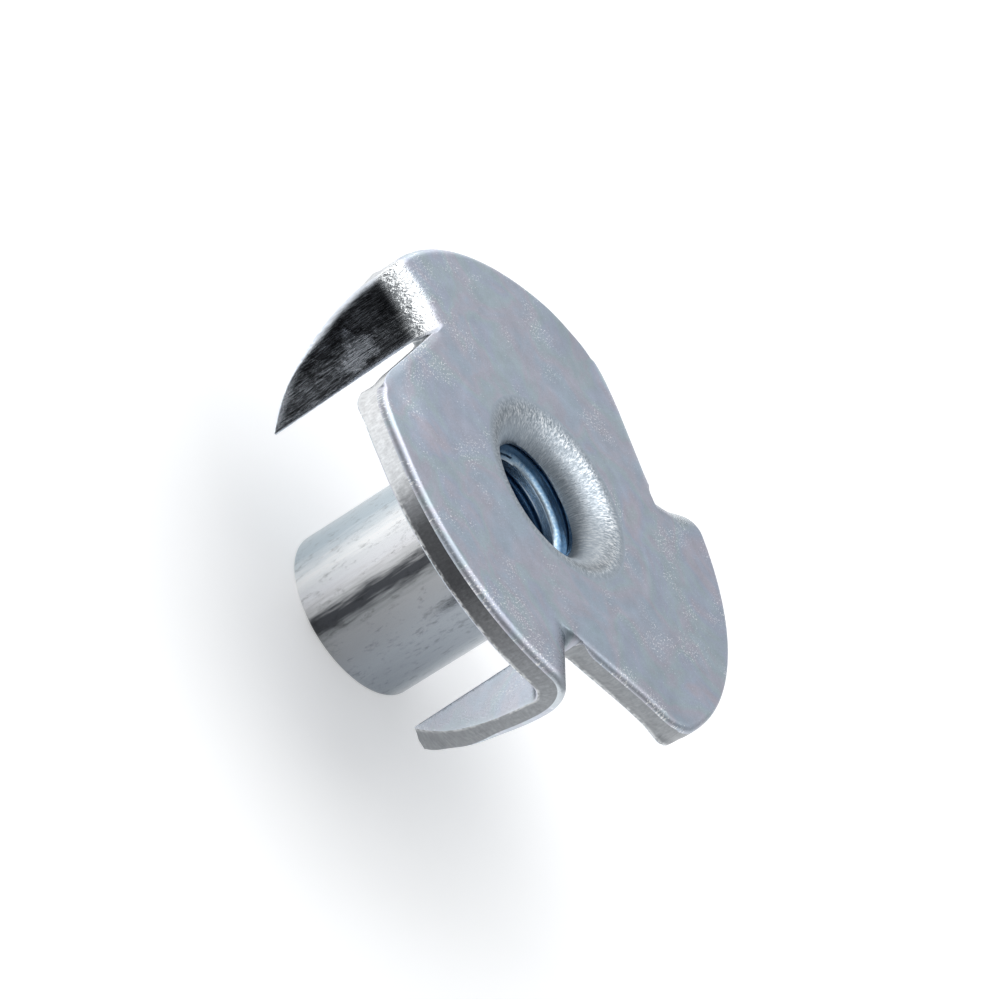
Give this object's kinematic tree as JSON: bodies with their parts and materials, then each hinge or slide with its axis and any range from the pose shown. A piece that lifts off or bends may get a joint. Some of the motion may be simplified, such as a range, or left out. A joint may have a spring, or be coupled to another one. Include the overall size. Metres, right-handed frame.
{
  "type": "tee nut",
  "caption": "Pronged tee nut: a round steel flange with prongs bent down from its rim and a threaded barrel drawn from its middle, driven into wood so that a bolt has a thread to pull on.",
  "frame": {"origin": "centre of the bore at the barrel's free end, where the bolt goes in", "axes": "+Z along the bore from the barrel's free end to the flange, +X over the first prong, whose outer face looks towards +Y"},
  "size_m": [0.0191, 0.0187, 0.0093],
  "materials": {
    "zinc_plated_steel": "bright zinc plating with a faint blue cast over drawn sheet steel, semi-gloss"
  },
  "bodies": {
    "root": {"tee_nut": "zinc_plated_steel"}
  },
  "joints": []
}
